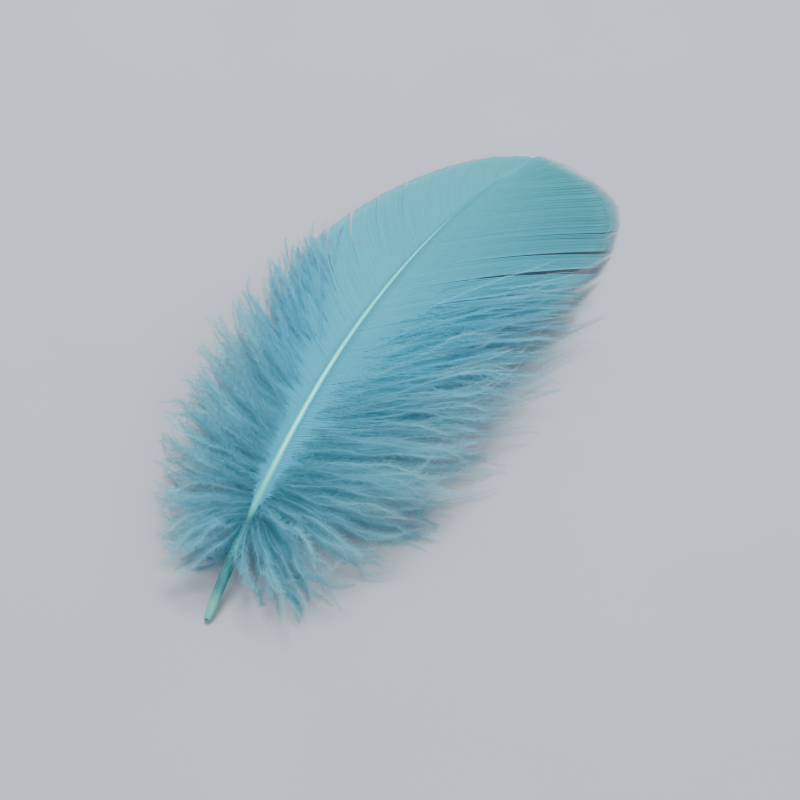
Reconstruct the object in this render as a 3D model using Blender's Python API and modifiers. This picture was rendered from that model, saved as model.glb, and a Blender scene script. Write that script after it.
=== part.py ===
"""A dyed goose feather, lying hollow side down on a table.

The shaft runs along Y, from the bare quill at -Y to the tip at +Y, in one even arch.
The webs grow from both sides of it: loose down next to the quill, then locks of barbs
that close up into a broad, smooth, round-ended vane. All of it grew as one piece.
Sizes are in metres, +Z is up, and the origin is under the middle of the feather.
"""

import math

import bmesh
import bpy
from mathutils import Vector

# The shaft's arch, from its crown down to the table at either end
CROWN_HEIGHT = 0.0196
CROWN_PLACE = 0.0835  # along the shaft from the quill's end
QUILL_ARCH_RADIUS = 0.184
TIP_ARCH_RADIUS = 0.266
BOW_PLACE = -0.030  # along Y from the crown; from here the shaft bends towards +X both ways
QUILL_BOW = 0.36  # sideways by this times the run squared
TIP_BOW = 0.62
SHAFT_X = -0.0038
SHAFT_Y = -0.0068
SHAFT_LENGTH = 0.165
SHAFT_POINTS = 24
SHAFT_ROUNDNESS = 2

# The shaft's radius at distances from the quill's end
SHAFT_RADII = (
    (0.000, 0.00070),
    (0.003, 0.00112),
    (0.012, 0.00125),
    (0.024, 0.00112),
    (0.045, 0.00092),
    (0.075, 0.00074),
    (0.110, 0.00052),
    (0.140, 0.00038),
    (0.165, 0.00030),
)

# Barbs at stations up the shaft: distance from the quill's end, angle to the shaft
# at the root and at the tip in degrees, and length. The right web (1) is the broader one.
BARBS = {
    1: (
        (0.023, 108, 116, 0.0196),
        (0.032, 88, 70, 0.0338),
        (0.045, 70, 42, 0.0458),
        (0.060, 57, 31, 0.0550),
        (0.080, 47, 26, 0.0618),
        (0.100, 42, 23, 0.0650),
        (0.120, 38, 20, 0.0596),
        (0.140, 34, 19, 0.0440),
        (0.155, 24, 14, 0.0285),
        (0.165, -1, -3, 0.0172),
    ),
    -1: (
        (0.023, 108, 116, 0.0167),
        (0.032, 88, 70, 0.0288),
        (0.045, 70, 42, 0.0391),
        (0.060, 57, 31, 0.0465),
        (0.080, 47, 25, 0.0512),
        (0.100, 42, 21, 0.0493),
        (0.120, 37, 17, 0.0437),
        (0.140, 31, 12, 0.0340),
        (0.155, 20, 7, 0.0233),
        (0.165, -1, -3, 0.0149),
    ),
}
BARB_STEPS = 12

# The smooth vane, in locks of barbs that cling together
VANE_START = 0.070
VANE_DROOP = 9.0  # the web falls away from the shaft by this times the distance squared
WEB_THICKNESS = 0.0008
FLOOR_SOFTNESS = 0.0012
SHINGLE = 0.0005  # each lock's lower edge stands this much over its upper one
ROOT_OVERLAP = 0.0006
LOCK_CELLS_ACROSS = 3
LOCK_CELLS_ALONG = 7
LOCK_ROUNDING = 0.02
SPLIT_INWARD = 0.4  # a split's edges part this much across and this much along the shaft
SPLIT_ALONG = 0.9
SIDE_STEP = 0.0002  # the right web lies this much higher than the left where they meet
# Where the vane has split: distances from the quill's end, and how wide each split
# opens at the rim
RIGHT_SPLITS = ((0.082, 0.0034), (0.091, 0.0040), (0.100, 0.0026), (0.110, 0.0012), (0.124, 0.0004),
                (0.139, 0.0003), (0.153, 0.0003))
LEFT_SPLITS = ((0.080, 0.0018), (0.089, 0.0022), (0.099, 0.0010), (0.110, 0.0014), (0.122, 0.0006),
               (0.138, 0.0003), (0.153, 0.0003))

BARB_COLOUR = (0.18, 0.42, 0.48)
BARB_ROUGHNESS = 0.7
WELD_DISTANCE = 0.00002
SHORT_STEP = 0.02

# The down: soft tufts in three tiers, upper, middle and lower
DOWN_START = 0.0245
DOWN_END = 0.080
TUFTS_PER_SIDE = 20
ROOT_CROWDING = 1.15  # over 1 sets the tufts closer together next to the quill
FAN_SWINGS = (44, 30, 18, 8)  # degrees by which the lowest tufts turn back along the quill
TUFT_HALF_WIDTH = 0.0038
TUFT_HALF_THICKNESS = 0.0017
TUFT_BELLY = 0.85  # under 1 moves the fullest place towards the tip
TUFT_BLUNTNESS = 0.7
TUFT_SIDES = 6
TUFT_RINGS = 7
TIER_LIFTS = (0.0045, 0.0, -0.0088)
TIER_REACH = (1.10, 1.20, 1.13)
TIER_ARC = 0.62  # half turns of the swing by which a tuft leaves the web's own height
VANE_CALM = 0.65  # the tiers close up by this share towards the vane


def between(stations, place):
    """The values at a place, read from rows of (place, value, ...) along a smooth curve."""
    last = len(stations) - 2
    row = 0
    while row < last and place > stations[row + 1][0]:
        row += 1
    low, high = stations[row], stations[row + 1]
    before, after = stations[max(row - 1, 0)], stations[min(row + 2, last + 1)]
    span = high[0] - low[0]
    share = min(max((place - low[0]) / span, 0.0), 1.0)
    values = []
    for k in range(1, len(low)):
        slope_low = (high[k] - before[k]) / max(high[0] - before[0], 1e-9) * span
        slope_high = (after[k] - low[k]) / max(after[0] - low[0], 1e-9) * span
        cube, square = share**3, share**2
        values.append(
            (2 * cube - 3 * square + 1) * low[k] + (cube - 2 * square + share) * slope_low
            + (3 * square - 2 * cube) * high[k] + (cube - square) * slope_high
        )
    return values


def on_arch(distance):
    """The shaft's middle line at a distance from the quill's end: the point, and the way up there."""
    along = distance - CROWN_PLACE
    radius = QUILL_ARCH_RADIUS if along < 0 else TIP_ARCH_RADIUS
    turn = along / radius
    run = radius * math.sin(turn)
    height = CROWN_HEIGHT - radius * (1 - math.cos(turn))
    bow = (QUILL_BOW if run < BOW_PLACE else TIP_BOW) * (run - BOW_PLACE) ** 2
    return Vector((SHAFT_X + bow, SHAFT_Y + run, height)), Vector((0, math.sin(turn), math.cos(turn)))


def settled(height, floor):
    """A height eased up so that it nears the floor and never passes through it."""
    over = height - floor
    return floor + (over + math.sqrt(over**2 + FLOOR_SOFTNESS**2)) / 2


def on_web(side, across, distance, lift=0.0, floor=WEB_THICKNESS / 2):
    """A point of the web: across from the shaft on one side, lifted over the web's own fall.
    The web spreads over the table where it would reach below it."""
    point, up = on_arch(distance)
    point = point + Vector((side * across, 0, 0)) + up * (lift - VANE_DROOP * across**2)
    point.z = settled(point.z, floor)
    return point


def along_barb(side, root, share):
    """How far across and how far up the shaft a barb has got, at a share of its length."""
    start, end, length = between(BARBS[side], root)
    across = 0.0
    distance = root
    step_length = length * share / BARB_STEPS
    for step in range(BARB_STEPS):
        angle = math.radians(start + (end - start) * share * (step + 0.5) / BARB_STEPS)
        across += math.sin(angle) * step_length
        distance += math.cos(angle) * step_length
    return across, distance


def clear_scene():
    for old in list(bpy.data.objects):
        bpy.data.objects.remove(old, do_unlink=True)


def collection_of(name):
    made = bpy.data.collections.new(name)
    bpy.context.scene.collection.children.link(made)
    return made


def material_of(name, colour, roughness):
    made = bpy.data.materials.new(name)
    made.use_nodes = True
    shader = made.node_tree.nodes["Principled BSDF"]
    shader.inputs["Base Color"].default_value = (*colour, 1)
    shader.inputs["Roughness"].default_value = roughness
    shader.inputs["Metallic"].default_value = 0.0
    return made


def mesh_of(source, name, collection):
    """The evaluated shape of an object as a mesh object of its own, in place of it."""
    bpy.context.view_layer.update()
    graph = bpy.context.evaluated_depsgraph_get()
    made = bpy.data.objects.new(name, bpy.data.meshes.new_from_object(source.evaluated_get(graph)))
    made.matrix_world = source.matrix_world
    collection.objects.link(made)
    bpy.data.objects.remove(source, do_unlink=True)
    return made


def weld(made, distance):
    """Makes points this close one, to close a tube's caps."""
    shape = bmesh.new()
    shape.from_mesh(made.data)
    bmesh.ops.remove_doubles(shape, verts=shape.verts, dist=distance)
    bmesh.ops.recalc_face_normals(shape, faces=shape.faces)
    shape.to_mesh(made.data)
    shape.free()


def poly_curve(name, points, radii, collection):
    """A curve object through these points, with a radius at each."""
    curve = bpy.data.curves.new(name, "CURVE")
    curve.dimensions = "3D"
    curve.use_fill_caps = True
    line = curve.splines.new("POLY")
    line.points.add(len(points) - 1)
    for knot, point, radius in zip(line.points, points, radii):
        knot.co = (*point, 1)
        knot.radius = radius
    made = bpy.data.objects.new(name, curve)
    collection.objects.link(made)
    return made


def build_shaft(collection):
    """The quill and shaft: one tapering tube along the arch."""
    distances = [SHAFT_LENGTH * (k / (SHAFT_POINTS - 1)) ** 1.2 for k in range(SHAFT_POINTS)]
    points = [on_arch(distance)[0] for distance in distances]
    radii = [between(SHAFT_RADII, distance)[0] for distance in distances]
    shaft = poly_curve("shaft_line", points, radii, collection)
    shaft.data.bevel_depth = 1.0
    shaft.data.bevel_resolution = SHAFT_ROUNDNESS
    tube = mesh_of(shaft, "shaft", collection)
    weld(tube, WELD_DISTANCE)
    return tube


def build_vane_lock(name, side, low, high, gap_low, gap_high, collection):
    """A lock of the smooth vane between two splits: a sheet that follows its barbs,
    overlapping its neighbours at the root like a shingle."""
    mesh = bpy.data.meshes.new(name)
    shape = bmesh.new()
    bmesh.ops.create_grid(shape, x_segments=LOCK_CELLS_ACROSS, y_segments=LOCK_CELLS_ALONG, size=0.5)
    for vertex in shape.verts:
        part = vertex.co.x + 0.5
        share = vertex.co.y + 0.5
        root = low - ROOT_OVERLAP + (high - low + 2 * ROOT_OVERLAP) * part
        across, distance = along_barb(side, root, share * (1 - LOCK_ROUNDING * (2 * part - 1) ** 2))
        opening = (gap_low * (1 - part) - gap_high * part) * share**2 / 2
        lift = SHINGLE * (0.5 - part) + SIDE_STEP * side
        vertex.co = on_web(side, across - SPLIT_INWARD * opening, distance + SPLIT_ALONG * opening, lift)
    shape.to_mesh(mesh)
    shape.free()
    lock = bpy.data.objects.new(name, mesh)
    collection.objects.link(lock)
    thick = lock.modifiers.new("web thickness", "SOLIDIFY")
    thick.thickness = WEB_THICKNESS
    thick.offset = 0.0


def build_vane(side, splits, collection):
    """One half of the smooth vane, as locks from split to split."""
    edges = [(VANE_START, splits[0][1]), *splits, (SHAFT_LENGTH, 0.0)]
    name = "right" if side > 0 else "left"
    for number, ((low, gap_low), (high, gap_high)) in enumerate(zip(edges, edges[1:])):
        build_vane_lock(f"{name}_vane_lock_{number}", side, low, high, gap_low, gap_high, collection)


def build_tuft(name, side, root, tier, swing, collection):
    """A soft tuft of down: a ball drawn out along its barbs, flat, tapering and curved."""
    mesh = bpy.data.meshes.new(name)
    shape = bmesh.new()
    bmesh.ops.create_uvsphere(shape, u_segments=TUFT_SIDES, v_segments=TUFT_RINGS, radius=1.0)

    def centre(share):
        across, distance = along_barb(side, root, share * TIER_REACH[tier])
        onto = distance - root
        across, distance = (
            across * math.cos(swing) + onto * math.sin(swing),
            root + onto * math.cos(swing) - across * math.sin(swing),
        )
        calm = 1 - VANE_CALM * (root - DOWN_START) / (DOWN_END - DOWN_START)
        lift = TIER_LIFTS[tier] * calm * math.sin(math.pi * TIER_ARC * share)
        return on_web(side, across, distance, lift)

    for vertex in shape.verts:
        share = math.acos(min(max(vertex.co.z, -1.0), 1.0)) / math.pi
        onward = (centre(share + SHORT_STEP) - centre(share - SHORT_STEP)).normalized()
        sideways = onward.cross(on_arch(root)[1]).normalized()
        up = sideways.cross(onward)
        round_part = Vector((vertex.co.x, vertex.co.y))
        fullness = math.sin(math.pi * share**TUFT_BELLY) ** TUFT_BLUNTNESS if 0 < share < 1 else 0.0
        round_part = round_part.normalized() * fullness
        place = centre(share) + sideways * round_part.x * TUFT_HALF_WIDTH
        place += up * round_part.y * TUFT_HALF_THICKNESS
        place.z = settled(place.z, 0.0)
        vertex.co = place
    bmesh.ops.recalc_face_normals(shape, faces=shape.faces)
    shape.to_mesh(mesh)
    shape.free()
    tuft = bpy.data.objects.new(name, mesh)
    collection.objects.link(tuft)


def build_down(side, collection):
    """The tufts of one side, from the quill up to the vane, tier after tier."""
    name = "right" if side > 0 else "left"
    for number in range(TUFTS_PER_SIDE):
        rise = (number / (TUFTS_PER_SIDE - 1)) ** ROOT_CROWDING
        root = DOWN_START + (DOWN_END - DOWN_START) * rise
        swing = math.radians(FAN_SWINGS[number]) if number < len(FAN_SWINGS) else 0.0
        build_tuft(f"{name}_tuft_{number}", side, root, number % len(TIER_LIFTS), swing, collection)


def set_down(feather):
    """Moves the feather so that it stands on the table with the origin under its middle."""
    corners = [vertex.co for vertex in feather.data.vertices]
    lows = [min(corner[axis] for corner in corners) for axis in range(3)]
    highs = [max(corner[axis] for corner in corners) for axis in range(3)]
    middle = Vector(((lows[0] + highs[0]) / 2, (lows[1] + highs[1]) / 2, lows[2]))
    for vertex in feather.data.vertices:
        vertex.co -= middle


def build_feather():
    clear_scene()
    parts = collection_of("goose feather")
    locks = collection_of("locks that grow from the shaft")
    shaft = build_shaft(locks)
    for side, splits in ((1, RIGHT_SPLITS), (-1, LEFT_SPLITS)):
        build_vane(side, splits, locks)
        build_down(side, locks)
    locks.objects.unlink(shaft)
    parts.objects.link(shaft)
    for lock in locks.objects:
        lock.display_type = "WIRE"
        lock.hide_render = True
    grown = shaft.modifiers.new("webs and down grow from the shaft", "BOOLEAN")
    grown.operation = "UNION"
    grown.solver = "EXACT"
    grown.operand_type = "COLLECTION"
    grown.collection = locks
    feather = mesh_of(shaft, "feather", parts)
    set_down(feather)
    feather.data.materials.clear()
    feather.data.materials.append(material_of("dyed barbs", BARB_COLOUR, BARB_ROUGHNESS))


build_feather()
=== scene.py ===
import math

import bpy
import numpy as np
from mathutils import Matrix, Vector


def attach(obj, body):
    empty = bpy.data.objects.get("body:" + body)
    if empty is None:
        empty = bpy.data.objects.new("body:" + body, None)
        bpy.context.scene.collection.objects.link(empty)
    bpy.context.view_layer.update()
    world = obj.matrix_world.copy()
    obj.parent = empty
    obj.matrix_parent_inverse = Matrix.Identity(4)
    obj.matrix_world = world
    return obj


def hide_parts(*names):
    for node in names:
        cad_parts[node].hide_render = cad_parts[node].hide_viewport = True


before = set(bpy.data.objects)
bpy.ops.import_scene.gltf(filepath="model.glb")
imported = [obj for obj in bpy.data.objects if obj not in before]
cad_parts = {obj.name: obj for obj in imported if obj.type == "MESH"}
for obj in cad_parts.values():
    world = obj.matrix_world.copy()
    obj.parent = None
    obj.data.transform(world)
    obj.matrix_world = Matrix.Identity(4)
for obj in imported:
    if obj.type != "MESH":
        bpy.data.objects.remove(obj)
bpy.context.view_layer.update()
bpy.ops.object.select_all(action="DESELECT")


# The table top the feather lies on: a plain pale board, painted matt.
# The camera looks down on it from in front and to the right of the quill,
# and a broad soft lamp overhead, a little to the left, gives the only clear shadow.

TABLE_SIZE = 6
TABLE_COLOUR = (0.37, 0.39, 0.44)
TABLE_MOTTLE = 0.015  # the paint is lighter and darker by this share
TABLE_MOTTLE_SCALE = 18
SKY_COLOUR = (0.90, 0.95, 1.0)
SKY_STRENGTH = 0.90
# each lamp: name, place, size, power
LAMPS = (
    ("main lamp", (-0.13, 0.28, 0.83), 0.42, 10.0),
    ("fill lamp", (0.60, -0.45, 0.55), 0.70, 2.0),
)
CAMERA_TURN = math.radians(24)
CAMERA_HEIGHT = math.radians(46)
CAMERA_FIELD = math.radians(28)
CAMERA_DISTANCE = 0.385
LOOKED_AT = Vector((0.0069, -0.0122, -0.0002))


def new_material(name, roughness):
    """A material with its nodes, its links and its surface shader."""
    made = bpy.data.materials.new(name)
    made.use_nodes = True
    shader = made.node_tree.nodes["Principled BSDF"]
    shader.inputs["Roughness"].default_value = roughness
    return made, made.node_tree.nodes, made.node_tree.links, shader


def colour_steps(nodes, steps):
    """A colour ramp through these places and colours."""
    ramp = nodes.new("ShaderNodeValToRGB")
    while len(ramp.color_ramp.elements) < len(steps):
        ramp.color_ramp.elements.new(0.5)
    for element, (place, colour) in zip(ramp.color_ramp.elements, steps):
        element.position = place
        element.color = (*colour, 1)
    return ramp


bpy.ops.mesh.primitive_plane_add(size=TABLE_SIZE, location=(0, 0, 0))
table = bpy.context.object
table.name = "table"
paint, nodes, links, shader = new_material("matt table paint", 0.75)
mottle = nodes.new("ShaderNodeTexNoise")
mottle.inputs["Scale"].default_value = TABLE_MOTTLE_SCALE
darker = [c * (1 - TABLE_MOTTLE) for c in TABLE_COLOUR]
lighter = [c * (1 + TABLE_MOTTLE) for c in TABLE_COLOUR]
tint = colour_steps(nodes, ((0.35, darker), (0.65, lighter)))
place = nodes.new("ShaderNodeTexCoord")
links.new(place.outputs["Object"], mottle.inputs["Vector"])
links.new(mottle.outputs["Fac"], tint.inputs["Fac"])
links.new(tint.outputs["Color"], shader.inputs["Base Color"])
table.data.materials.append(paint)

sky = bpy.data.worlds.new("soft room light")
bpy.context.scene.world = sky
sky.use_nodes = True
sky.node_tree.nodes["Background"].inputs["Color"].default_value = (*SKY_COLOUR, 1)
sky.node_tree.nodes["Background"].inputs["Strength"].default_value = SKY_STRENGTH

for name, at, size, power in LAMPS:
    bpy.ops.object.light_add(type="AREA", location=at)
    lamp = bpy.context.object
    lamp.name = name
    lamp.data.shape = "DISK"
    lamp.data.size = size
    lamp.data.energy = power
    lamp.rotation_euler = (-Vector(at)).to_track_quat("-Z", "Y").to_euler()

towards_camera = Vector((
    math.sin(CAMERA_TURN) * math.cos(CAMERA_HEIGHT),
    -math.cos(CAMERA_TURN) * math.cos(CAMERA_HEIGHT),
    math.sin(CAMERA_HEIGHT),
))
bpy.ops.object.camera_add(location=LOOKED_AT + towards_camera * CAMERA_DISTANCE)
camera = bpy.context.object
camera.rotation_euler = (-towards_camera).to_track_quat("-Z", "Y").to_euler()
camera.data.angle = CAMERA_FIELD
camera.data.clip_start = 0.01
bpy.context.scene.camera = camera


# The shaft: one tapering stem of horn. The bare quill below is a clear round tube,
# deep with dye and open at its end; above it the stem is pale, solid and satiny,
# squarer in section, with a groove along its hollow side.

# the arch is two circles that meet at the crown; seen from above the shaft also
# bows sideways, to both sides of one place
CROWN_HEIGHT = 0.01944
CROWN_PLACE = 0.0835  # from the quill's end
QUILL_ARCH_RADIUS = 0.184
TIP_ARCH_RADIUS = 0.266
BOW_PLACE = -0.030
QUILL_BOW = 0.36
TIP_BOW = 0.62
SHAFT_X = -0.00467
SHAFT_Y = -0.0080
SHAFT_LENGTH = 0.165
SHAFT_RINGS = 56
RING_CROWDING = 1.15  # rings stand closer towards the quill's end
SHAFT_SIDES = 16
# distance from the quill's end, radius
SHAFT_RADII = (
    (0.000, 0.00075),
    (0.003, 0.00112),
    (0.012, 0.00125),
    (0.024, 0.00112),
    (0.045, 0.00084),
    (0.075, 0.00064),
    (0.110, 0.00046),
    (0.140, 0.00030),
    (0.165, 0.00012),
)
SAME_RING = 0.00001
RIM_ROUNDING = 0.00012  # the cut end stands out by this, and is this much narrower
RIM_NARROWING = 0.85
RIM_RETURN = 0.00010
QUILL_MOUTH = 0.55
QUILL_MOUTH_DEPTH = 0.0018
PALE_FROM = 0.0245  # where the quill ends and the pale stem starts
SQUARED_OVER = 0.012
SQUARENESS = 0.12
STEM_NARROWING = 0.06
GROOVE_DEPTH = 0.35
GROOVE_CORNERS = -0.9  # corners lower than this, in radii, make the groove

QUILL_TEAL = (0.006, 0.110, 0.125)
QUILL_PALE_TEAL = (0.02, 0.21, 0.22)
QUILL_END = (0.10, 0.42, 0.37)
STEM_LOW = (0.020, 0.42, 0.43)
STEM_MINT = (0.045, 0.64, 0.62)
STEM_CREAM = (0.09, 0.80, 0.75)
STEM_TIP = (0.04, 0.44, 0.52)
END_FADE = (0.0028, 0.0060)  # the pale end turns to deep dye between these
STEM_EDGE = 0.0012  # half the width of the change from quill to stem
STEM_PALES_OVER = 0.020
TIP_FADE_FROM = -0.005
TIP_FADE_SHORT_BY = 0.020
TIP_FADE = 0.90
FIBRE_STRETCH = (2600, 120, 2600)
FIBRE_RELIEF = 0.0001


def between(stations, place):
    """The values at a place, read from rows of (place, value, ...) along a smooth curve."""
    rows = np.array(stations, dtype=float)
    last = len(rows) - 2
    row = min(max(int(np.searchsorted(rows[:, 0], place)) - 1, 0), last)
    low, high = rows[row], rows[row + 1]
    before, after = rows[max(row - 1, 0)], rows[min(row + 2, last + 1)]
    span = high[0] - low[0]
    share = min(max((place - low[0]) / span, 0.0), 1.0)
    slope_low = (high[1:] - before[1:]) / (high[0] - before[0]) * span
    slope_high = (after[1:] - low[1:]) / (after[0] - low[0]) * span
    cube, square = share**3, share**2
    return (
        (2 * cube - 3 * square + 1) * low[1:] + (cube - 2 * square + share) * slope_low
        + (3 * square - 2 * cube) * high[1:] + (cube - square) * slope_high
    )


def on_arch(distance):
    """Points of the shaft's middle line at distances from the quill's end, and the way up there."""
    distance = np.asarray(distance, dtype=float)
    along = distance - CROWN_PLACE
    radius = np.where(along < 0, QUILL_ARCH_RADIUS, TIP_ARCH_RADIUS)
    turn = along / radius
    run = radius * np.sin(turn)
    height = CROWN_HEIGHT - radius * (1 - np.cos(turn))
    bow = np.where(run < BOW_PLACE, QUILL_BOW, TIP_BOW) * (run - BOW_PLACE) ** 2
    point = np.stack([SHAFT_X + bow, SHAFT_Y + run, height], axis=-1)
    up = np.stack([np.zeros_like(turn), np.sin(turn), np.cos(turn)], axis=-1)
    return point, up


ring_places = SHAFT_LENGTH * np.linspace(0, 1, SHAFT_RINGS) ** RING_CROWDING
ring_points = on_arch(ring_places)[0]
ring_radii = [between(SHAFT_RADII, place)[0] for place in ring_places]

bpy.ops.mesh.primitive_circle_add(
    vertices=SHAFT_SIDES, radius=ring_radii[0], fill_type="NOTHING",
    location=ring_points[0], rotation=(math.radians(90), 0, 0),
)
stem = bpy.context.object
stem.name = "quill_and_stem"
bpy.ops.object.transform_apply(location=True, rotation=True, scale=True)
bpy.ops.object.mode_set(mode="EDIT")
bpy.ops.mesh.select_all(action="SELECT")
for number in range(1, SHAFT_RINGS):
    step = ring_points[number] - ring_points[number - 1]
    grow = ring_radii[number] / ring_radii[number - 1]
    bpy.ops.mesh.extrude_region_move(TRANSFORM_OT_translate={"value": tuple(step)})
    bpy.ops.transform.resize(value=(grow, grow, grow), center_override=tuple(ring_points[number]))
bpy.ops.mesh.edge_face_add()

# the quill's open mouth: its rim turned in, then down into the tube
bpy.ops.mesh.select_all(action="DESELECT")
bpy.ops.object.mode_set(mode="OBJECT")
for vertex in stem.data.vertices:
    vertex.select = vertex.co.y < ring_points[0][1] + SAME_RING
for edge in stem.data.edges:
    edge.select = all(stem.data.vertices[k].select for k in edge.vertices)
bpy.ops.object.mode_set(mode="EDIT")
bpy.ops.mesh.select_mode(type="EDGE")
for outward, narrowing in ((-RIM_ROUNDING, RIM_NARROWING), (RIM_RETURN, QUILL_MOUTH)):
    bpy.ops.mesh.extrude_region_move(TRANSFORM_OT_translate={"value": (0, outward, 0)})
    bpy.ops.transform.resize(value=(narrowing, 1, narrowing), center_override=tuple(ring_points[0]))
bpy.ops.mesh.extrude_region_move(TRANSFORM_OT_translate={"value": (0, QUILL_MOUTH_DEPTH, 0)})
bpy.ops.mesh.edge_face_add()
bpy.ops.mesh.select_all(action="SELECT")
bpy.ops.mesh.normals_make_consistent(inside=False)
bpy.ops.object.mode_set(mode="OBJECT")

# above the quill the stem is squarer, and grooved underneath
for vertex in stem.data.vertices:
    number = int(np.argmin(np.abs(ring_points[:, 1] - vertex.co.y)))
    centre, radius = ring_points[number], ring_radii[number]
    share = min(max((ring_places[number] - PALE_FROM) / SQUARED_OVER, 0.0), 1.0)
    sideways = (vertex.co.x - centre[0]) / radius
    upward = (vertex.co.z - centre[2]) / radius
    if abs(vertex.co.y - centre[1]) < SAME_RING:
        square = 1 + SQUARENESS * share * math.sin(2 * math.atan2(upward, sideways)) ** 2
        vertex.co.x = centre[0] + sideways * radius * square * (1 - STEM_NARROWING * share)
        vertex.co.z = centre[2] + upward * radius * square
        if upward < GROOVE_CORNERS:
            vertex.co.z += GROOVE_DEPTH * radius * share
smooth = stem.modifiers.new("rounding", "SUBSURF")
smooth.levels = smooth.render_levels = 1
bpy.ops.object.modifier_apply(modifier=smooth.name)
bpy.ops.object.shade_smooth()

horn, nodes, links, shader = new_material("dyed quill horn", 0.34)
place = nodes.new("ShaderNodeTexCoord")
axes = nodes.new("ShaderNodeSeparateXYZ")
links.new(place.outputs["Object"], axes.inputs["Vector"])
stretch = nodes.new("ShaderNodeMapping")
stretch.inputs["Scale"].default_value = FIBRE_STRETCH
links.new(place.outputs["Object"], stretch.inputs["Vector"])
fibres = nodes.new("ShaderNodeTexNoise")
fibres.inputs["Scale"].default_value = 1.0
fibres.inputs["Detail"].default_value = 4
links.new(stretch.outputs["Vector"], fibres.inputs["Vector"])
dye = colour_steps(nodes, ((0.30, QUILL_TEAL), (0.72, QUILL_PALE_TEAL)))
links.new(fibres.outputs["Fac"], dye.inputs["Fac"])
pale = colour_steps(nodes, ((0.30, STEM_MINT), (0.75, STEM_CREAM)))
links.new(fibres.outputs["Fac"], pale.inputs["Fac"])


def mix_along(low_y, high_y, most, below, above):
    """A colour that goes from one to the other between two places along the feather."""
    share = nodes.new("ShaderNodeMapRange")
    share.inputs["From Min"].default_value = low_y
    share.inputs["From Max"].default_value = high_y
    share.inputs["To Max"].default_value = most
    links.new(axes.outputs["Y"], share.inputs["Value"])
    mixed = nodes.new("ShaderNodeMix")
    mixed.data_type = "RGBA"
    links.new(share.outputs["Result"], mixed.inputs["Factor"])
    for socket, colour in (("A", below), ("B", above)):
        if isinstance(colour, tuple):
            mixed.inputs[socket].default_value = (*colour, 1)
        else:
            links.new(colour, mixed.inputs[socket])
    return mixed.outputs["Result"]


end_y, pale_y, tip_y = (float(on_arch(place)[0][1]) for place in (0, PALE_FROM, SHAFT_LENGTH))
dyed = mix_along(end_y + END_FADE[0], end_y + END_FADE[1], 1, QUILL_END, dye.outputs["Color"])
lower = mix_along(pale_y - STEM_EDGE, pale_y + STEM_EDGE, 1, dyed, STEM_LOW)
upper = mix_along(pale_y, pale_y + STEM_PALES_OVER, 1, lower, pale.outputs["Color"])
whole = mix_along(TIP_FADE_FROM, tip_y - TIP_FADE_SHORT_BY, TIP_FADE, upper, STEM_TIP)
links.new(whole, shader.inputs["Base Color"])
relief = nodes.new("ShaderNodeBump")
relief.inputs["Strength"].default_value = 0.25
relief.inputs["Distance"].default_value = FIBRE_RELIEF
links.new(fibres.outputs["Fac"], relief.inputs["Height"])
links.new(relief.outputs["Normal"], shader.inputs["Normal"])
shader.inputs["Coat Weight"].default_value = 0.35
shader.inputs["Coat Roughness"].default_value = 0.18
shader.inputs["Subsurface Weight"].default_value = 0.15
shader.inputs["Subsurface Radius"].default_value = (0.0006, 0.0009, 0.0009)
stem.data.materials.append(horn)
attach(stem, "root")
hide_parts("feather")


# The smooth vane: hundreds of flat barbs a side, each a thin ridged blade that hooks
# onto the next one like a shingle. Where the hooks have let go the web is split, and
# low on the stem the barbs cling only near their roots.

# barbs at stations up the shaft: place, angle at the root and at the tip, length
BARBS = {
    1: (
        (0.023, 108, 116, 0.0196),
        (0.032, 88, 70, 0.0338),
        (0.045, 70, 42, 0.0458),
        (0.060, 57, 31, 0.0550),
        (0.080, 47, 26, 0.0618),
        (0.100, 42, 23, 0.0650),
        (0.120, 38, 20, 0.0596),
        (0.140, 34, 19, 0.0440),
        (0.155, 24, 14, 0.0285),
        (0.165, -1, -3, 0.0172),
    ),
    -1: (
        (0.023, 108, 116, 0.0167),
        (0.032, 88, 70, 0.0288),
        (0.045, 70, 42, 0.0391),
        (0.060, 57, 31, 0.0465),
        (0.080, 47, 25, 0.0512),
        (0.100, 42, 21, 0.0493),
        (0.120, 37, 17, 0.0437),
        (0.140, 31, 12, 0.0340),
        (0.155, 20, 7, 0.0233),
        (0.165, -1, -3, 0.0149),
    ),
}
WEB_DROOP = 9.0
WEB_FLOOR = 0.00025
FLOOR_SOFTNESS = 0.0012
WEB_START = 0.027
BARB_SPACING = 0.00036
BARB_UNEVENNESS = 0.15  # of the spacing
BARB_RINGS = 16
BARB_HALF_WIDTHS = (0.00010, 0.00027)
BARB_OVERLAP = 0.70  # half a barb's width, as a share of the way to the next one
BARB_HALF_HEIGHT = 0.00005
SHINGLE_TILT = math.radians(8)
# how much of each barb clings, at distances from the quill's end
CLING = {
    1: (
        (0.026, 0.02), (0.036, 0.12), (0.045, 0.19), (0.058, 0.36),
        (0.070, 0.55), (0.082, 0.86), (0.090, 1.0), (0.170, 1.0),
    ),
    -1: (
        (0.026, 0.02), (0.036, 0.10), (0.045, 0.18), (0.058, 0.38),
        (0.070, 0.68), (0.080, 0.94), (0.086, 1.0), (0.170, 1.0),
    ),
}
CLING_UNEVENNESS = 0.22
LEAST_CLING = 0.015
LEAST_REACH = 0.03
LOOSE_TAPER = 0.34  # past where it clings, a barb thins out over this share of its length
FOOT_LENGTH = 0.014  # and over less of it at the foot of the web
FOOT_TAPER = 0.06
LOOSE_ASIDE = 0.0012
LOOSE_UP = 0.0009
RAGGED_ENDS = 0.012
BROKEN_ENDS = 0.02
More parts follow.
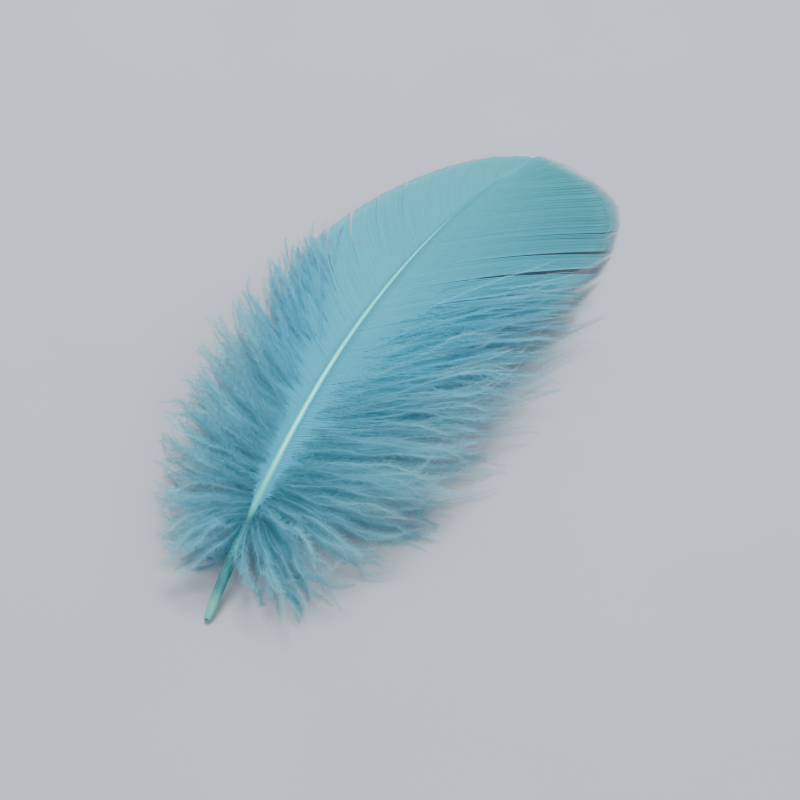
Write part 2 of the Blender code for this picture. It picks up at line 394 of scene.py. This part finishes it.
# where the web is split, and how wide each split gapes at the rim
SPLITS = {
    1: (
        (0.070, 0.0026), (0.082, 0.0026), (0.091, 0.0027), (0.100, 0.0016), (0.110, 0.0007),
        (0.124, 0.0003), (0.139, 0.0002), (0.153, 0.0002), (0.170, 0.0),
    ),
    -1: (
        (0.070, 0.0014), (0.080, 0.0014), (0.089, 0.0016), (0.099, 0.0005), (0.110, 0.0009),
        (0.122, 0.0003), (0.138, 0.0002), (0.153, 0.0002), (0.170, 0.0),
    ),
}
SPLIT_INWARD = 0.4
SPLIT_ALONG = 0.9
# neighbouring barbs run in locks: the lengths and weights of slow waves along the shaft
LOCK_WAVES = ((0.011, 0.4), (0.0047, 0.35), (0.0019, 0.25))
LOCK_ALONG = 0.00018
LOCK_UP = 0.00015
BARB_UP = 0.000018
WEB_LIFT = 0.0003
FLANK = (0.45, 0.80)  # how high on the stem the barbs grow, low down and farther up
FLANK_RISE = 3.5

WEB_TEAL = (0.062, 0.530, 0.670)
WEB_GREEN_TEAL = (0.045, 0.430, 0.490)
WEB_BLUE = (0.055, 0.500, 0.730)
WEB_PALE = (0.22, 0.74, 0.85)
WEB_STREAKS = ((0.30, (0.90, 0.91, 0.92)), (0.70, (1.09, 1.08, 1.07)))
RIM_PALES_FROM = 0.80
RIM_PALENESS = 0.45


def barb_course(side, roots, shares):
    """How far across and how far up the shaft barbs have got, one row for each barb."""
    rows = np.array([between(BARBS[side], root) for root in roots])
    start, end = np.radians(rows[:, 0:1]), np.radians(rows[:, 1:2])
    length = rows[:, 2:3]
    turn = end - start
    angle = start + turn * shares
    across = length / turn * (np.cos(start) - np.cos(angle))
    along = roots[:, None] + length / turn * (np.sin(angle) - np.sin(start))
    return across, along


def on_web(side, across, distance, lift):
    """Points of the web, lifted over its own fall; it spreads over the table where it meets it."""
    point, up = on_arch(distance)
    point[..., 0] += side * across
    point += up * (lift - WEB_DROOP * across**2)[..., None]
    over = point[..., 2] - WEB_FLOOR
    point[..., 2] = WEB_FLOOR + (over + np.sqrt(over**2 + FLOOR_SOFTNESS**2)) / 2
    return point, up


def unit(vectors):
    return vectors / np.maximum(np.linalg.norm(vectors, axis=-1, keepdims=True), 1e-12)


def frames_along(points, up):
    """The way onward, the way up and the way sideways at each point of each line."""
    onward = unit(np.gradient(points, axis=1))
    sideways = unit(np.cross(onward, up))
    return onward, np.cross(sideways, onward), sideways


def mesh_piece(name, points, faces, uv, look):
    """A piece from its points, a list of face arrays and a place on the colour map for each point."""
    mesh = bpy.data.meshes.new(name)
    mesh.vertices.add(len(points))
    mesh.vertices.foreach_set("co", points.astype(np.float32).ravel())
    corners = np.concatenate([face.ravel() for face in faces]).astype(np.int32)
    sizes = np.concatenate([np.full(len(face), face.shape[1]) for face in faces])
    starts = np.concatenate([[0], np.cumsum(sizes)[:-1]]).astype(np.int32)
    mesh.loops.add(len(corners))
    mesh.loops.foreach_set("vertex_index", corners)
    mesh.polygons.add(len(sizes))
    mesh.polygons.foreach_set("loop_start", starts)
    mesh.update(calc_edges=True)
    layer = mesh.uv_layers.new(name="OFBake")
    layer.data.foreach_set("uv", uv[corners].astype(np.float32).ravel())
    mesh.shade_smooth()
    mesh.materials.append(look)
    made = bpy.data.objects.new(name, mesh)
    bpy.context.collection.objects.link(made)
    return made


def closed_tubes(points, ups, sideways, high, wide, sides):
    """The points and faces of many closed tubes, one along each line."""
    count, rings = points.shape[:2]
    turns = 2 * np.pi * np.arange(sides) / sides
    ring = (
        points[:, :, None, :]
        + ups[:, :, None, :] * (np.cos(turns)[None, None, :] * high[:, :, None])[..., None]
        + sideways[:, :, None, :] * (np.sin(turns)[None, None, :] * wide[:, :, None])[..., None]
    )
    number = np.arange(count * rings * sides).reshape(count, rings, sides)
    following = np.roll(number, -1, axis=2)
    walls = np.stack([number[:, :-1], following[:, :-1], following[:, 1:], number[:, 1:]], axis=-1)
    first = number[:, 0, ::-1]
    last = number[:, -1, :]
    return ring.reshape(-1, 3), [walls.reshape(-1, 4), first.reshape(-1, sides), last.reshape(-1, sides)]


def on_colour_map(across, shares):
    """Places on the colour map: across the map for each barb's corners, up it along each barb."""
    count, rings = shares.shape
    corners = len(across)
    u = (np.arange(count)[:, None, None] + np.array(across)) / count * np.ones((1, rings, 1))
    v = shares[:, :, None] * np.ones((1, 1, corners))
    return np.stack([u.ravel(), v.ravel()], axis=1)


def split_opening(side, roots):
    """How far each barb's end is pushed along the shaft by the splits beside its lock."""
    edges = SPLITS[side]
    shift = np.zeros(len(roots))
    for (low, gap_low), (high, gap_high) in zip(edges, edges[1:]):
        part = (roots - low) / (high - low)
        inside = (part >= 0) & (part < 1)
        shift[inside] = ((gap_low * (1 - part) - gap_high * part) / 2)[inside]
    return shift


def lock_wave(roots, seed):
    """A slow uneven wave along the shaft, from -1 to 1."""
    rng = np.random.default_rng(seed)
    wave = np.zeros(len(roots))
    for length, weight in LOCK_WAVES:
        wave += weight * np.sin(2 * np.pi * roots / length + rng.uniform(0, 2 * np.pi))
    return wave


def streaked_dye_and_shade(nodes, links, along_axis, steps, stretch_by, detail, streaks):
    """Colour that changes along one axis of the colour map, streaked from barb to barb: dye, and in the
    down also painted shade at the roots.
    """
    where = nodes.new("ShaderNodeUVMap")
    where.uv_map = "OFBake"
    axes = nodes.new("ShaderNodeSeparateXYZ")
    links.new(where.outputs["UV"], axes.inputs["Vector"])
    along = colour_steps(nodes, steps)
    links.new(axes.outputs[along_axis], along.inputs["Fac"])
    stretch = nodes.new("ShaderNodeMapping")
    stretch.inputs["Scale"].default_value = stretch_by
    links.new(where.outputs["UV"], stretch.inputs["Vector"])
    grain = nodes.new("ShaderNodeTexNoise")
    grain.inputs["Scale"].default_value = 1.0
    grain.inputs["Detail"].default_value = detail
    links.new(stretch.outputs["Vector"], grain.inputs["Vector"])
    light = colour_steps(nodes, streaks)
    links.new(grain.outputs["Fac"], light.inputs["Fac"])
    streaked = nodes.new("ShaderNodeMix")
    streaked.data_type = "RGBA"
    streaked.blend_type = "MULTIPLY"
    streaked.inputs["Factor"].default_value = 1.0
    links.new(along.outputs["Color"], streaked.inputs["A"])
    links.new(light.outputs["Color"], streaked.inputs["B"])
    return axes, streaked.outputs["Result"]


def let_light_through(nodes, links, shader, colour, share):
    """Colour the surface, and let this share of the light fall through it."""
    links.new(colour, shader.inputs["Base Color"])
    through = nodes.new("ShaderNodeBsdfTranslucent")
    links.new(colour, through.inputs["Color"])
    mixed = nodes.new("ShaderNodeMixShader")
    mixed.inputs["Fac"].default_value = share
    links.new(shader.outputs["BSDF"], mixed.inputs[1])
    links.new(through.outputs["BSDF"], mixed.inputs[2])
    links.new(mixed.outputs["Shader"], nodes["Material Output"].inputs["Surface"])


web, nodes, links, shader = new_material("dyed web", 0.62)
web_steps = ((0.0, WEB_BLUE), (0.42, WEB_TEAL), (0.95, WEB_GREEN_TEAL))
axes, streaked = streaked_dye_and_shade(nodes, links, "X", web_steps, (150, 1.6, 1), 3, WEB_STREAKS)
rim = nodes.new("ShaderNodeMapRange")
rim.inputs["From Min"].default_value = RIM_PALES_FROM
rim.inputs["From Max"].default_value = 1.0
rim.inputs["To Max"].default_value = RIM_PALENESS
links.new(axes.outputs["Y"], rim.inputs["Value"])
paled = nodes.new("ShaderNodeMix")
paled.data_type = "RGBA"
paled.inputs["B"].default_value = (*WEB_PALE, 1)
links.new(rim.outputs["Result"], paled.inputs["Factor"])
links.new(streaked, paled.inputs["A"])
shader.inputs["Specular IOR Level"].default_value = 0.3
shader.inputs["Sheen Weight"].default_value = 0.12
shader.inputs["Sheen Roughness"].default_value = 0.45
let_light_through(nodes, links, shader, paled.outputs["Result"], 0.22)

for side, name in ((1, "vane_right"), (-1, "vane_left")):
    rng = np.random.default_rng(20 + side)
    roots = np.arange(WEB_START, SHAFT_LENGTH, BARB_SPACING)
    roots = roots + rng.uniform(-BARB_UNEVENNESS, BARB_UNEVENNESS, len(roots)) * BARB_SPACING
    up_shaft = roots[:, None]
    cling = np.array([between(CLING[side], root)[0] for root in roots])
    ragged = 1 - RAGGED_ENDS * rng.random(len(roots)) - BROKEN_ENDS * rng.random(len(roots)) ** 6
    uneven = CLING_UNEVENNESS * np.clip(1 - cling, 0, 1) * lock_wave(roots, 4 + side)
    cling = np.clip(cling * (1 + uneven), LEAST_CLING, 1.0)
    thinning = LOOSE_TAPER * np.clip((roots - WEB_START) / FOOT_LENGTH, FOOT_TAPER, 1.0)
    reach = np.clip(cling + thinning, LEAST_REACH, 1.0) * ragged
    steps = np.linspace(0, 1, BARB_RINGS)
    shares = reach[:, None] * steps[None, :]
    free = np.clip((shares - cling[:, None]) / thinning[:, None], 0, 1)

    # the course of each barb, seen from above
    across, along = barb_course(side, roots, shares)
    wave = lock_wave(roots, 11 + side)[:, None]
    push = split_opening(side, roots)[:, None] * shares**2
    across = across - SPLIT_INWARD * push
    along = along + SPLIT_ALONG * push + LOCK_ALONG * wave * shares**3
    along = along + LOOSE_ASIDE * rng.normal(0, 1, (len(roots), 1)) * free**1.5

    # its height over the web's own fall: from the stem's flank down to one thin sheet
    radius = np.array([between(SHAFT_RADII, root)[0] for root in roots])[:, None]
    flank = radius * np.clip(FLANK[0] + FLANK_RISE * (up_shaft - WEB_START), *FLANK)
    lift = WEB_LIFT + (flank - WEB_LIFT) * (1 - np.clip(shares, 0, 1)) ** 4
    lift = lift + LOCK_UP * wave * shares**2 + rng.normal(0, BARB_UP, (len(roots), 1)) * shares
    lift = lift + LOOSE_UP * rng.normal(0, 1, (len(roots), 1)) * free**1.5
    points, up = on_web(side, across, along, lift)

    # each blade leans a little over the next one, and thins to its end
    onward, rise, sideways = frames_along(points, up)
    lean_up = rise * math.cos(SHINGLE_TILT) + sideways * math.sin(SHINGLE_TILT) * -side
    lean_side = np.cross(onward, lean_up)
    taper = np.clip((1.0 - steps[None, :]) / 0.10, 0.12, 1.0) ** 0.7 * (1 - 0.88 * free**0.7)
    beside = np.gradient(points, axis=0)
    beside -= onward * np.sum(beside * onward, axis=-1, keepdims=True)
    half_width = np.clip(BARB_OVERLAP * np.linalg.norm(beside, axis=-1), *BARB_HALF_WIDTHS)
    points, faces = closed_tubes(
        points, lean_up, lean_side, BARB_HALF_HEIGHT * taper, half_width * taper, 4
    )
    vane = mesh_piece(name, points, faces, on_colour_map((0.5, 0.8, 0.5, 0.2), shares), web)
    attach(vane, "root")
    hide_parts("feather")


# The down and the silky barbs above it: loose barbs without hooks, each a hair-fine
# stem fringed on both sides with soft barbules. They gather in tufts, wave, cross
# each other and fall to the table; towards the vane they lie straighter.

DOWN_START = 0.0238
DOWN_FAN_END = 0.033  # below this the barbs fan out backwards along the quill
FAN_SWING = 46
FREE_SWING = 9
DOWN_RINGS = 20
DOWN_STEM_RADIUS = 0.000060
BARBULE_RADIUS = 0.000030
LEAST_HEIGHT = 0.00006
# distance from the quill's end, barbule length, barbule angle, waviness
DOWN_KINDS = (
    (0.023, 0.0026, 62, 1.0),
    (0.040, 0.0026, 58, 1.0),
    (0.055, 0.0024, 54, 0.95),
    (0.070, 0.0020, 46, 0.78),
    (0.092, 0.0011, 28, 0.40),
)
# barbs grow in three tiers, and those of one tier lean together in tufts
TIER_LIFTS = (0.0045, 0.0, -0.0088)
TIER_ARC = 0.62
TIERS_CALM_FROM = 0.0245
TIERS_CALM_OVER = 0.0555
TIER_CALM = 0.65
TUFT_BARBS = 7
TUFT_PULL = 0.42
STRAY_UP = 0.0019
STRAY_ASIDE = 0.0024
BARB_WAVES = ((1.3, 0.0009), (2.9, 0.00045))  # waves along a barb, and their size
CURL_FROM = 0.75
CURL_ALONG = 0.045
CURL_ACROSS = 0.02
CURL_UP = 0.03

# the down is darkest at its roots: painted shade deep in the fluff next to the stem
DOWN_ROOT_SHADE = (0.110, 0.570, 0.710)
DOWN_TEAL = (0.210, 0.800, 0.950)
DOWN_PALE = (0.420, 0.870, 0.970)
SILK_BLUE = (0.100, 0.740, 0.950)
SILK_PALE = (0.280, 0.830, 0.960)
DOWN_STREAKS = ((0.30, (0.66, 0.74, 0.77)), (0.70, (1.30, 1.20, 1.15)))


def down_material(name, root_tone_and_shade, body_colour, end_colour):
    made, nodes, links, shader = new_material(name, 0.62)
    # the root colour of the soft down is painted shade, where the fluff shades itself
    steps = ((0.02, root_tone_and_shade), (0.45, body_colour), (0.95, end_colour))
    streaked = streaked_dye_and_shade(nodes, links, "Y", steps, (60, 2, 1), 2, DOWN_STREAKS)[1]
    shader.inputs["Sheen Weight"].default_value = 0.3
    let_light_through(nodes, links, shader, streaked, 0.45)
    return made


def barbules(rng, points, onward, ups, sideways, kinds, per_barb):
    """Fine needles along both sides of each downy barb: their points and faces, and for
    each needle the number of its barb and how far along it grows."""
    count, rings = points.shape[:2]
    place = (np.arange(per_barb)[None, :] + rng.uniform(0, 1, (count, per_barb))) / per_barb
    place = 0.03 + 0.96 * place
    at = place * (rings - 1)
    low = np.minimum(at.astype(int), rings - 2)
    part = (at - low)[..., None]
    barb = np.repeat(np.arange(count)[:, None], per_barb, axis=1)

    def read(values):
        return values[barb, low] * (1 - part) + values[barb, low + 1] * part

    base, ahead, high, wide = (read(values) for values in (points, onward, ups, sideways))
    ahead = unit(ahead)
    hand = np.where(np.arange(per_barb) % 2 == 0, 1.0, -1.0)[None, :, None]
    roll = rng.normal(0, 0.75, (count, per_barb, 1))
    out = wide * hand * np.cos(roll) + high * np.sin(roll)

    # shorter at the barb's foot and towards its end
    length = kinds[:, 0:1] * rng.uniform(0.55, 1.15, (count, per_barb))
    shorter = np.clip((1.04 - place) / 0.25, 0.30, 1.0) * np.clip(place / 0.05, 0.3, 1)
    length = (length * shorter)[..., None]
    lean = np.radians(kinds[:, 1:2] * rng.uniform(0.75, 1.25, (count, per_barb)))[..., None]
    way = ahead * np.cos(lean) + out * np.sin(lean)
    bend = rng.normal(0, 0.28, (count, per_barb, 3))
    tip = base + way * length * 0.5 + unit(way + ahead * 0.55 + bend) * length * 0.5
    tip[..., 2] = np.maximum(tip[..., 2], LEAST_HEIGHT)

    across_way = unit(np.cross(way, high + 0.01))
    over_way = np.cross(across_way, way)
    turns = 2 * np.pi * np.arange(3) / 3
    ring = [over_way * math.cos(turn) + across_way * -math.sin(turn) for turn in turns]
    thick = BARBULE_RADIUS * rng.uniform(0.8, 1.2, (count, per_barb, 1))
    corners = [base + r * thick for r in ring] + [tip]
    needle_points = np.stack(corners, axis=2).reshape(-1, 3)
    first = (np.arange(count * per_barb) * 4)[:, None]
    faces = [first + np.array([[0, 2, 1]])]
    faces += [first + np.array([[k, (k + 1) % 3, 3]]) for k in range(3)]
    return needle_points, faces, barb, place


def gather_in_tufts(points, free, steps):
    """Draw the barbs of each tuft together towards their ends, tier by tier."""
    count = len(points)
    for first in range(0, count, TUFT_BARBS):
        tuft = slice(first, first + TUFT_BARBS)
        pull = TUFT_PULL * (free[tuft] ** 1.5 * steps[None, :] ** 2)[..., None]
        tier_of = np.arange(count)[tuft] // 2 % len(TIER_LIFTS)
        for level in range(len(TIER_LIFTS)):
            chosen = np.flatnonzero(tier_of == level) + first
            if len(chosen):
                middle = points[chosen].mean(axis=0, keepdims=True)
                points[chosen] += (middle - points[chosen]) * pull[chosen - first]


def down_piece(name, side, roots, starts, look, per_barb, seed):
    """Loose barbs from these roots, each free from its starting share on."""
    rng = np.random.default_rng(seed)
    count = len(roots)
    kinds = np.array([between(DOWN_KINDS, root) for root in roots])
    wild = kinds[:, 2:3]
    steps = np.linspace(0, 1, DOWN_RINGS)
    reach = rng.uniform(0.88, 1.06, (count, 1))
    shares = starts[:, None] + (reach - starts[:, None]) * steps[None, :]
    across, along = barb_course(side, roots, shares)
    free = np.clip((shares - starts[:, None]) / 0.6, 0, 1)

    # each barb is swung about its root, and the lowest ones back along the quill
    fan = np.clip((DOWN_FAN_END - roots[:, None]) / (DOWN_FAN_END - DOWN_START), 0, 1)
    swing = np.radians(
        FREE_SWING * wild * rng.normal(0, 1, (count, 1))
        + FAN_SWING * fan * rng.uniform(0.5, 1.4, (count, 1))
    )
    onto = along - roots[:, None]
    across, along = (
        across * np.cos(swing) + onto * np.sin(swing),
        roots[:, None] + onto * np.cos(swing) - across * np.sin(swing),
    )
    across = np.maximum(across, 0)
    push = split_opening(side, roots)[:, None] * shares**2
    across = across - SPLIT_INWARD * push
    along = along + SPLIT_ALONG * push

    # tiers, strays, waves and a curl at the end
    calm = 1 - TIER_CALM * (roots[:, None] - TIERS_CALM_FROM) / TIERS_CALM_OVER
    tier = np.array(TIER_LIFTS)[np.arange(count) // 2 % len(TIER_LIFTS)][:, None]
    lift = tier * calm * np.sin(math.pi * TIER_ARC * shares)
    lift += STRAY_UP * wild * free * rng.normal(0, 1, (count, 1))
    turn_aside = STRAY_ASIDE * wild * free * rng.normal(0, 1, (count, 1))
    for waves, size in BARB_WAVES:
        phase = rng.uniform(0, 2 * np.pi, (count, 2))
        lift += size * wild * free * np.sin(2 * np.pi * waves * shares + phase[:, 0:1])
        turn_aside += size * wild * free * np.sin(2 * np.pi * waves * shares + phase[:, 1:2])
    curl = rng.normal(0, 1, (count, 1)) * np.clip(shares - CURL_FROM, 0, 1) ** 2
    along = along + turn_aside + CURL_ALONG * wild * curl
    across = np.maximum(across + CURL_ACROSS * wild * curl * rng.normal(0, 1, (count, 1)), 0)
    lift = lift + CURL_UP * wild * np.abs(curl)
    points, up = on_web(side, across, along, lift)
    gather_in_tufts(points, free, steps)

    onward, rise, sideways = frames_along(points, up)
    taper = DOWN_STEM_RADIUS * (1.15 - 0.85 * steps[None, :]) * np.ones((count, 1))
    stem_points, stem_faces = closed_tubes(points, rise, sideways, taper, taper, 3)
    stem_uv = on_colour_map((0.3, 0.5, 0.7), np.clip(shares, 0, 1) * 0.98)

    needle_points, needle_faces, barb, place = barbules(
        rng, points, onward, rise, sideways, kinds[:, 0:2], per_barb
    )
    needle_share = (starts[:, None] + (reach - starts[:, None]) * place).ravel()
    spots = np.array([(0.15, 0.0), (0.5, 0.0), (0.85, 0.0), (0.5, 0.02)])
    needle_u = (barb.ravel()[:, None] + spots[None, :, 0]) / count
    needle_v = np.clip(needle_share, 0, 1)[:, None] * 0.97 + spots[None, :, 1]
    needle_uv = np.stack([needle_u.ravel(), needle_v.ravel()], axis=1)
    made = mesh_piece(
        name, np.concatenate([stem_points, needle_points]),
        stem_faces + [face + len(stem_points) for face in needle_faces],
        np.concatenate([stem_uv, needle_uv]), look,
    )
    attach(made, "root")
    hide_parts("feather")


soft_down = down_material("soft down", DOWN_ROOT_SHADE, DOWN_TEAL, DOWN_PALE)
silk = down_material("silky barbs", SILK_BLUE, SILK_BLUE, SILK_PALE)
# name, from and to along the shaft, finish, barbules to a barb, spacing of the barbs
BANDS = (
    ("down_low", DOWN_START, 0.0380, soft_down, 360, 0.00016),
    ("down_middle", 0.0380, 0.0560, soft_down, 360, 0.00019),
    ("down_high", 0.0560, 0.0720, silk, 235, 0.00020),
    ("silk", 0.0720, 0.0860, silk, 230, 0.00020),
)
SILK_ENDS = 0.93  # a barb that clings past this share has no loose end
CLING_FROM = 0.026
for side, side_name in ((1, "right"), (-1, "left")):
    for order, (band, low, high, look, per_barb, spacing) in enumerate(BANDS):
        rng = np.random.default_rng(300 + 10 * order + side)
        roots = np.arange(low, high, spacing)
        roots = roots + rng.uniform(-0.4, 0.4, len(roots)) * spacing
        cling = np.array([between(CLING[side], max(root, CLING_FROM))[0] for root in roots])
        from_web = cling * rng.uniform(0.15, 0.85, len(roots))
        starts = np.where(roots < WEB_START, 0.0, from_web)
        loose = cling < SILK_ENDS
        seed = 500 + 10 * order + side
        down_piece(f"{band}_{side_name}", side, roots[loose], starts[loose], look, per_barb, seed)
